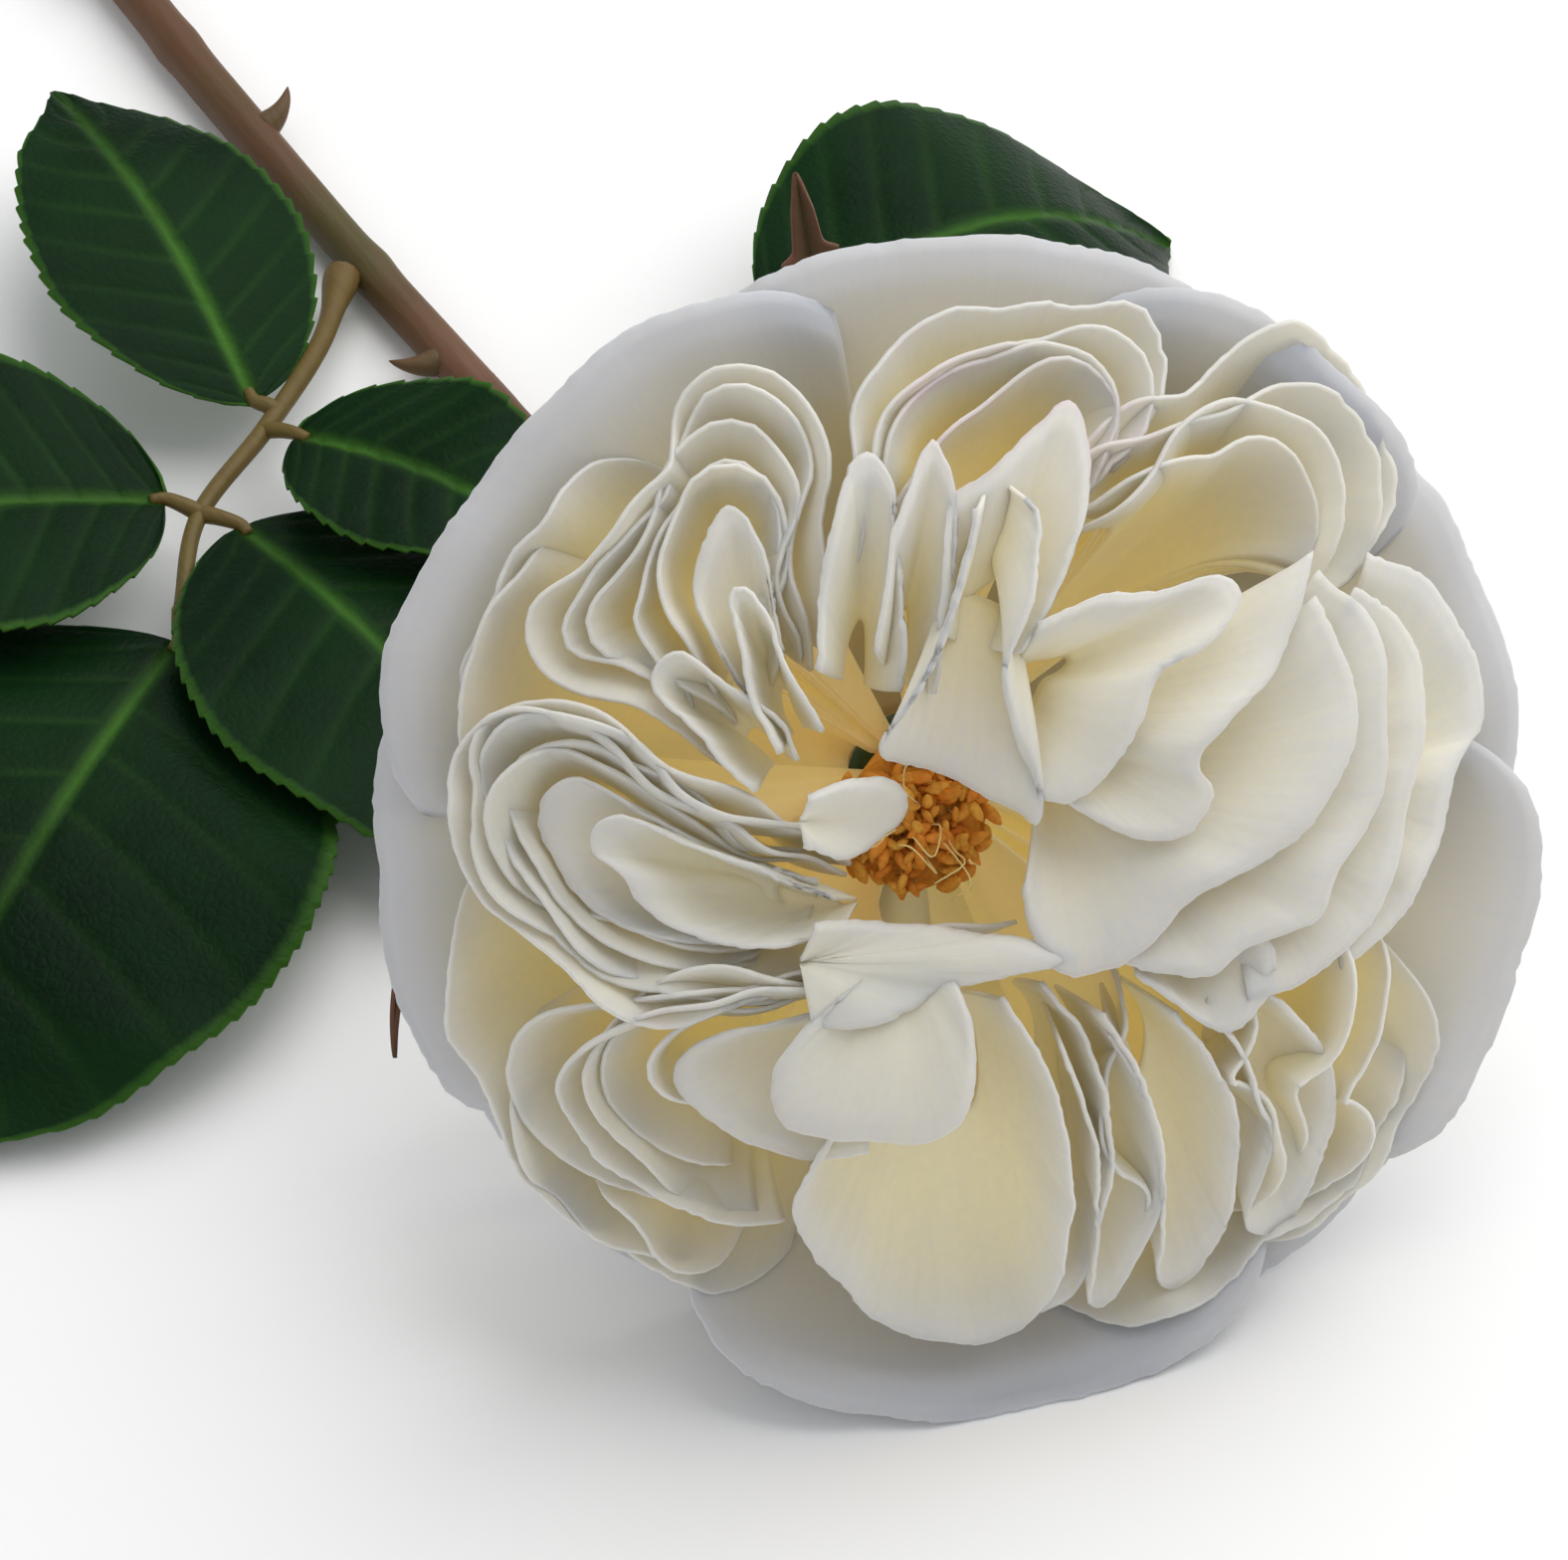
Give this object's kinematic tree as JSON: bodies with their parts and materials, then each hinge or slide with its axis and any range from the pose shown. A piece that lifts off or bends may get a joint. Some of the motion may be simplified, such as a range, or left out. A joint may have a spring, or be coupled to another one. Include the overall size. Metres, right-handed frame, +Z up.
{
  "type": "cut rose",
  "caption": "Cut garden rose lying on its side: a full rosette of folded petals inside guard petals, on a hip with long sepals, a prickly stem and toothed compound leaves.",
  "frame": {"origin": "under the middle of the flower's box, on the surface that it lies on", "axes": "+Z up, +Y along the stem from the bloom to the cut end, +X to the side of the upper leaf"},
  "size_m": [0.178, 0.2722, 0.0874],
  "materials": {
    "guard_petal": "soft matte petal, ivory with a creamy base and fine veins",
    "inner_petal": "soft matte petal, ivory rim and cream-yellow depths",
    "stamens": "matte orange-yellow threads and grains",
    "sepal": "matte green turning brown-red at the tip",
    "hip": "smooth green, slightly waxy",
    "stem": "smooth brown with olive and pinkish stretches",
    "leaf_stalk": "smooth olive-brown",
    "leaf": "glossy dark green with paler veins"
  },
  "bodies": {
    "root": {"guard_petal_1": "guard_petal", "guard_petal_2": "guard_petal", "guard_petal_3": "guard_petal", "guard_petal_4": "guard_petal", "guard_petal_5": "guard_petal", "guard_petal_6": "guard_petal", "guard_petal_7": "guard_petal", "guard_petal_8": "guard_petal", "guard_petal_9": "guard_petal", "hip": "hip", "leaf_1_leaflet_1": "leaf", "leaf_1_leaflet_2": "leaf", "leaf_1_leaflet_3": "leaf", "leaf_1_leaflet_4": "leaf", "leaf_1_leaflet_5": "leaf", "leaf_1_stalk": "leaf_stalk", "leaf_2_leaflet": "leaf", "leaf_2_stalk": "leaf_stalk", "petal_beside_eye": "inner_petal", "petal_bottom_1": "inner_petal", "petal_bottom_2": "inner_petal", "petal_cup_1": "inner_petal", "petal_cup_2": "inner_petal", "petal_cup_3": "inner_petal", "petal_front_cup": "inner_petal", "petal_left_1": "inner_petal", "petal_left_2": "inner_petal", "petal_left_3": "inner_petal", "petal_lower_left_1": "inner_petal", "petal_lower_left_2": "inner_petal", "petal_lower_left_3": "inner_petal", "petal_lower_right_1": "inner_petal", "petal_lower_right_2": "inner_petal", "petal_lower_right_3": "inner_petal", "petal_lower_right_4": "inner_petal", "petal_over_eye": "inner_petal", "petal_right_1": "inner_petal", "petal_right_2": "inner_petal", "petal_right_3": "inner_petal", "petal_right_4": "inner_petal", "petal_right_5": "inner_petal", "petal_right_6": "inner_petal", "petal_top_1": "inner_petal", "petal_top_2": "inner_petal", "petal_top_3": "inner_petal", "petal_upper_left_1": "inner_petal", "petal_upper_left_2": "inner_petal", "petal_upper_left_3": "inner_petal", "petal_upper_right_1": "inner_petal", "petal_upper_right_2": "inner_petal", "petal_upper_right_3": "inner_petal", "petaloid": "inner_petal", "sepal_1": "sepal", "sepal_2": "sepal", "sepal_3": "sepal", "sepal_4": "sepal", "sepal_5": "sepal", "stamens": "stamens", "stem": "stem"}
  },
  "joints": []
}
